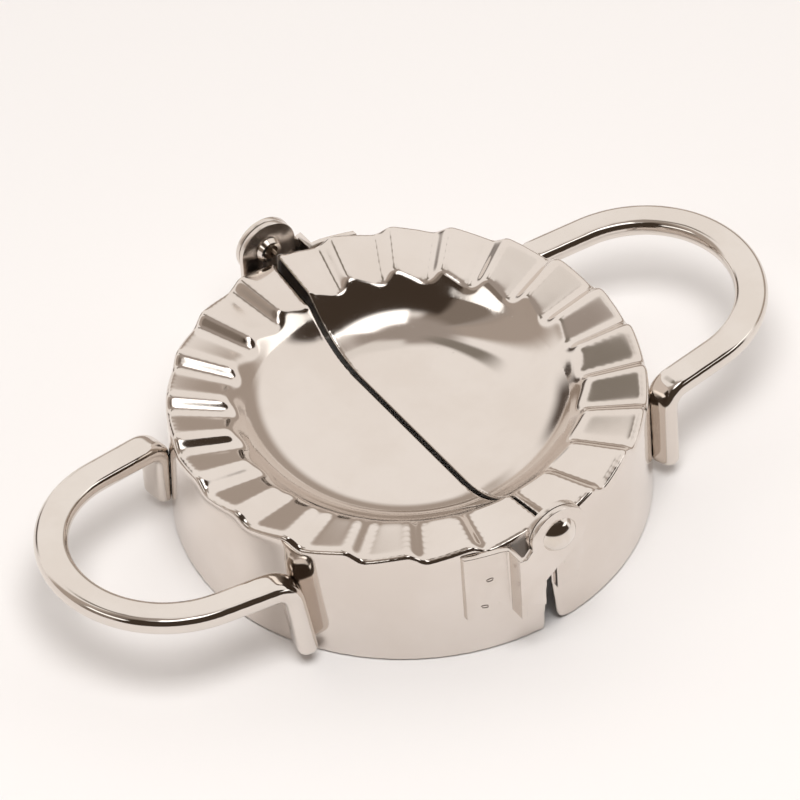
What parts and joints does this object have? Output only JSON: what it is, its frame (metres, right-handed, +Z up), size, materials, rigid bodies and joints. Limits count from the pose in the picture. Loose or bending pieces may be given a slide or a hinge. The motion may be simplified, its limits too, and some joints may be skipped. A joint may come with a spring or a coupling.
{
  "type": "dumpling mold",
  "caption": "Folding steel mold with a toothed crimping ring round a shallow bowl in each hinged half, and a flat-bar loop handle on either side.",
  "frame": {"origin": "on the table under the middle of the mold, lying open and flat", "axes": "+X towards the right handle, +Y along the hinge axis from the front hinge to the rear one, +Z up"},
  "size_m": [0.1356, 0.0889, 0.028],
  "materials": {
    "pressed_steel": "mirror polished stainless steel sheet",
    "bar_steel": "polished stainless steel bar",
    "strap_steel": "polished stainless steel strip",
    "rivet_steel": "polished steel rivet"
  },
  "bodies": {
    "left_half": {"left_shell": "pressed_steel", "left_handle": "bar_steel", "front_outer_strap": "strap_steel", "rear_inner_lug": "strap_steel", "front_rivet": "rivet_steel", "rear_rivet": "rivet_steel"},
    "right_half": {"right_shell": "pressed_steel", "right_handle": "bar_steel", "rear_outer_strap": "strap_steel", "front_inner_lug": "strap_steel"}
  },
  "joints": [
    {"name": "fold", "type": "hinge", "parent": "left_half", "child": "right_half", "pos_m": [0, 0, 0.0228], "axis": [0, -1, 0], "range_deg": [0, 180]}
  ]
}
